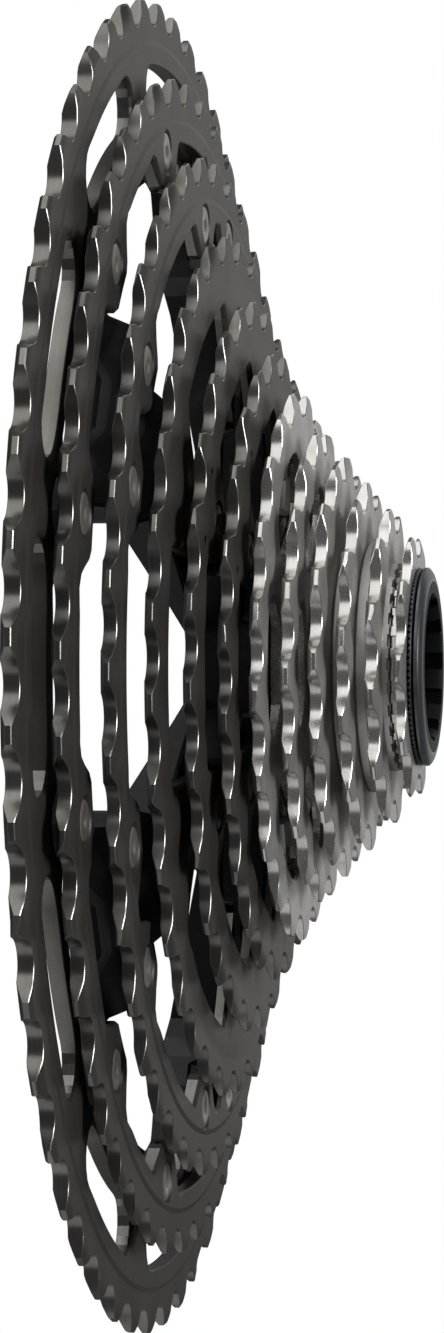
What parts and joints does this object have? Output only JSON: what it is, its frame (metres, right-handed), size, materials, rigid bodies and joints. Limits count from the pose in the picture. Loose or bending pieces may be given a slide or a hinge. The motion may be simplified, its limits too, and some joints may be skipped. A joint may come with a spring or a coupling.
{
  "type": "bicycle cassette sprocket",
  "caption": "Stepped cone of toothed sprockets on black riveted carriers, held by a lockring, that slides on a splined rear freehub to take a bicycle chain.",
  "frame": {"origin": "on the axis, in the plane of the largest sprocket's back face", "axes": "+Z along the axis from the largest sprocket to the lockring; +X and +Y across it, with no preferred turn"},
  "size_m": [0.2064, 0.2064, 0.0442],
  "materials": {
    "dark_steel": "dark satin plating, brushed edges",
    "bright_steel": "bright satin plating",
    "black_alloy": "black anodised, satin",
    "rivet_steel": "satin",
    "lockring_alloy": "dark anodised, semi-gloss"
  },
  "bodies": {
    "stack": {"sprocket_51t": "dark_steel", "sprocket_45t": "dark_steel", "sprocket_39t": "dark_steel", "sprocket_33t": "dark_steel", "sprocket_28t": "dark_steel", "sprocket_24t": "dark_steel", "sprocket_21t": "bright_steel", "sprocket_18t": "bright_steel", "sprocket_16t": "bright_steel", "sprocket_14t": "bright_steel", "sprocket_12t": "bright_steel", "sprocket_10t": "bright_steel", "outer_carrier": "black_alloy", "inner_carrier": "black_alloy", "rivet_45t_01": "rivet_steel", "rivet_45t_02": "rivet_steel", "rivet_45t_03": "rivet_steel", "rivet_45t_04": "rivet_steel", "rivet_45t_05": "rivet_steel", "rivet_45t_06": "rivet_steel", "rivet_45t_07": "rivet_steel", "rivet_45t_08": "rivet_steel", "rivet_45t_09": "rivet_steel", "rivet_45t_10": "rivet_steel", "rivet_45t_11": "rivet_steel", "rivet_45t_12": "rivet_steel", "rivet_39t_01": "rivet_steel", "rivet_39t_02": "rivet_steel", "rivet_39t_03": "rivet_steel", "rivet_39t_04": "rivet_steel", "rivet_39t_05": "rivet_steel", "rivet_39t_06": "rivet_steel", "rivet_39t_07": "rivet_steel", "rivet_39t_08": "rivet_steel", "rivet_39t_09": "rivet_steel", "rivet_39t_10": "rivet_steel", "rivet_39t_11": "rivet_steel", "rivet_39t_12": "rivet_steel", "rivet_28t_01": "rivet_steel", "rivet_28t_02": "rivet_steel", "rivet_28t_03": "rivet_steel", "rivet_28t_04": "rivet_steel", "rivet_28t_05": "rivet_steel", "rivet_28t_06": "rivet_steel", "rivet_24t_01": "rivet_steel", "rivet_24t_02": "rivet_steel", "rivet_24t_03": "rivet_steel", "rivet_24t_04": "rivet_steel", "rivet_24t_05": "rivet_steel", "rivet_24t_06": "rivet_steel", "spacer_21t_18t": "bright_steel", "spacer_18t_16t": "bright_steel", "spacer_16t_14t": "bright_steel", "spacer_14t_12t": "bright_steel"},
    "washer": {"lockring_washer": "rivet_steel"},
    "lockring": {"lockring": "lockring_alloy"}
  },
  "joints": [
    {"name": "lockring_lift", "type": "slide", "parent": "stack", "child": "washer", "axis": [0, 0, 1], "range_m": [0, 0.005]},
    {"name": "lockring_turn", "type": "hinge", "parent": "washer", "child": "lockring", "pos_m": [0, 0, 0.04294], "axis": [0, 0, 1], "range_deg": [0, 1800]}
  ],
  "couplings": [
    {"joint": "lockring_lift", "follows": "lockring_turn", "m_per_rad": 0.00015915}
  ]
}
